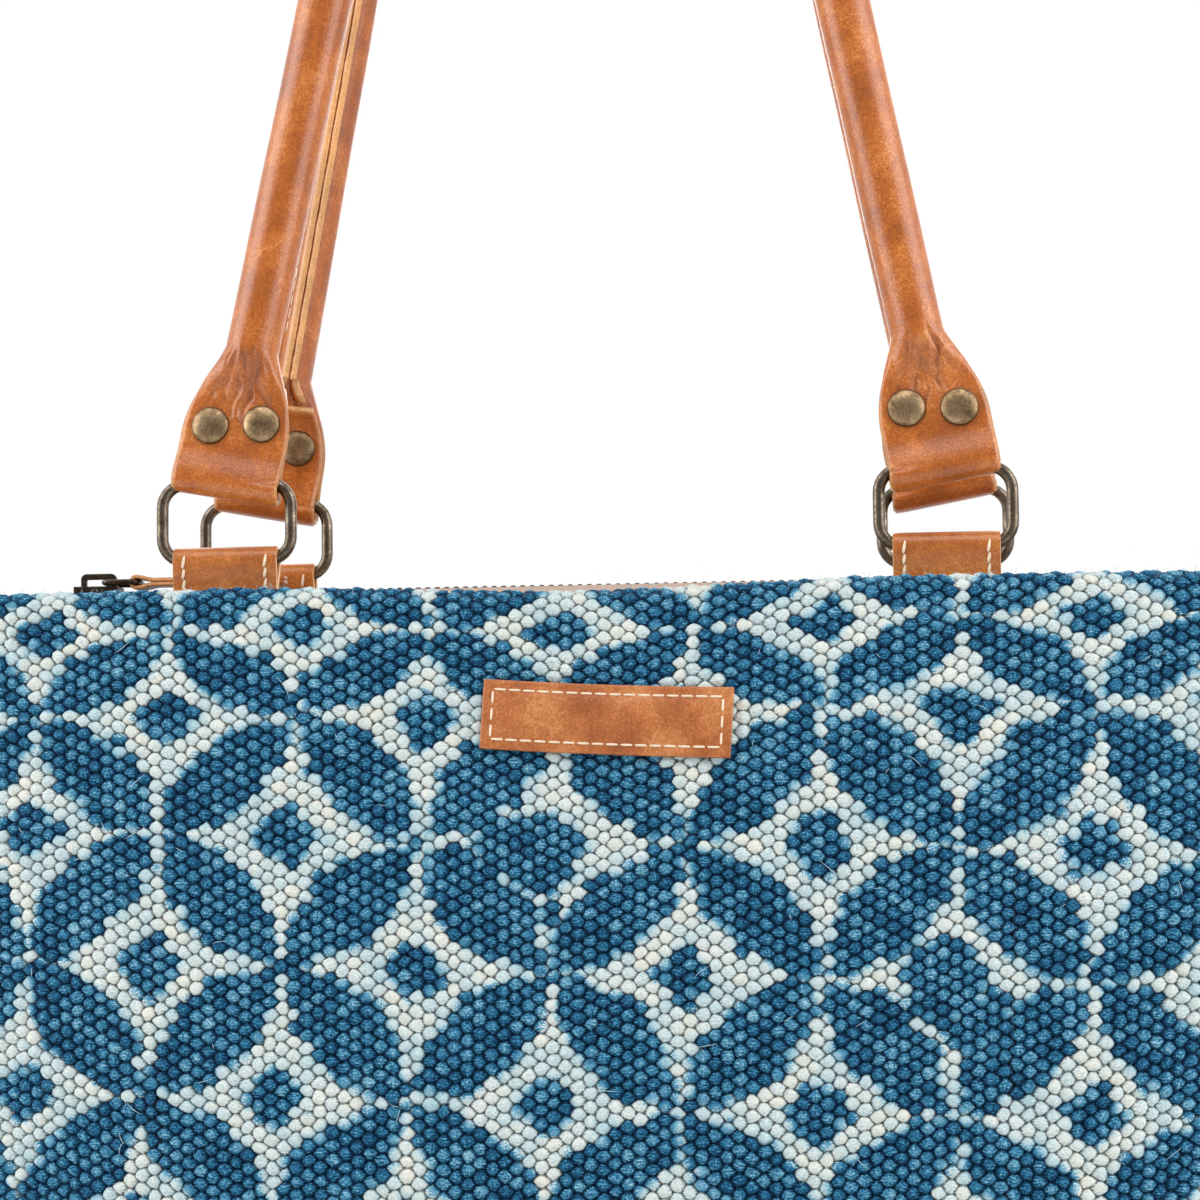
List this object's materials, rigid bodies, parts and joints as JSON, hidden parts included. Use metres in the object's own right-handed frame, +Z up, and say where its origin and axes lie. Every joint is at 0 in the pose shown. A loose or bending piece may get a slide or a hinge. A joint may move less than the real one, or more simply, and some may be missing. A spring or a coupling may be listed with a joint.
{
  "type": "tote bag",
  "caption": "Zip-top tote bag in thick block-printed woven cotton, with rolled leather handles on metal rings and a leather patch on the front.",
  "frame": {"origin": "on the floor under the middle of the bag", "axes": "+Z up, +X along the mouth to the right as the patch is seen, -Y out of the front panel"},
  "size_m": [0.432, 0.1186, 0.6085],
  "materials": {
    "printed_cotton": "thick woven, block printed",
    "zip_cloth": "plain woven tape",
    "handle_leather": "smooth tan",
    "loop_leather": "smooth tan",
    "patch_leather": "matt tan",
    "ring_metal": "dark antique",
    "rivet_metal": "antique",
    "zip_metal": "dark antique"
  },
  "bodies": {
    "bag": {"front_panel": "printed_cotton", "back_panel": "printed_cotton", "base_panel": "printed_cotton", "front_hem": "printed_cotton", "back_hem": "printed_cotton", "front_left_loop": "loop_leather", "front_right_loop": "loop_leather", "back_left_loop": "loop_leather", "back_right_loop": "loop_leather", "zip_tape_front": "zip_cloth", "zip_tape_back": "zip_cloth", "zip_teeth_front": "zip_metal", "zip_teeth_back": "zip_metal", "patch": "patch_leather"},
    "front_left_ring": {"front_left_ring": "ring_metal"},
    "front_right_ring": {"front_right_ring": "ring_metal"},
    "front_handle": {"front_handle": "handle_leather", "front_handle_rivets": "rivet_metal"},
    "back_left_ring": {"back_left_ring": "ring_metal"},
    "back_right_ring": {"back_right_ring": "ring_metal"},
    "back_handle": {"back_handle": "handle_leather", "back_handle_rivets": "rivet_metal"},
    "zip_slider": {"zip_slider": "zip_metal"},
    "zip_pull_ring": {"zip_pull_ring": "zip_metal"},
    "zip_pull": {"zip_pull": "handle_leather"}
  },
  "joints": [
    {"name": "front_left_ring_swing", "type": "hinge", "parent": "bag", "child": "front_left_ring", "pos_m": [-0.0955, -0.02678, 0.3583], "axis": [1, 0, 0], "range_deg": [0, 90]},
    {"name": "front_right_ring_swing", "type": "hinge", "parent": "bag", "child": "front_right_ring", "pos_m": [0.0955, -0.02678, 0.3583], "axis": [1, 0, 0], "range_deg": [0, 90]},
    {"name": "front_handle_swing", "type": "hinge", "parent": "front_left_ring", "child": "front_handle", "pos_m": [-0.0955, -0.02678, 0.3789], "axis": [1, 0, 0], "range_deg": [0, 75]},
    {"name": "back_left_ring_swing", "type": "hinge", "parent": "bag", "child": "back_left_ring", "pos_m": [-0.0955, 0.02678, 0.3583], "axis": [-1, 0, 0], "range_deg": [0, 90]},
    {"name": "back_right_ring_swing", "type": "hinge", "parent": "bag", "child": "back_right_ring", "pos_m": [0.0955, 0.02678, 0.3583], "axis": [-1, 0, 0], "range_deg": [0, 90]},
    {"name": "back_handle_swing", "type": "hinge", "parent": "back_left_ring", "child": "back_handle", "pos_m": [-0.0955, 0.02678, 0.3789], "axis": [-1, 0, 0], "range_deg": [0, 75]},
    {"name": "zip_slide", "type": "slide", "parent": "bag", "child": "zip_slider", "axis": [1, 0, 0], "range_m": [0, 0.27]},
    {"name": "pull_ring_hinge", "type": "hinge", "parent": "zip_slider", "child": "zip_pull_ring", "pos_m": [-0.13465, 0, 0.35505], "axis": [0, -1, 0], "range_deg": [0, 150]},
    {"name": "pull_hinge", "type": "hinge", "parent": "zip_pull_ring", "child": "zip_pull", "pos_m": [-0.12565, 0, 0.35505], "axis": [0, -1, 0], "range_deg": [0, 22]}
  ],
  "couplings": [
    {"joint": "front_right_ring_swing", "follows": "front_left_ring_swing", "ratio": 1},
    {"joint": "back_right_ring_swing", "follows": "back_left_ring_swing", "ratio": 1}
  ]
}
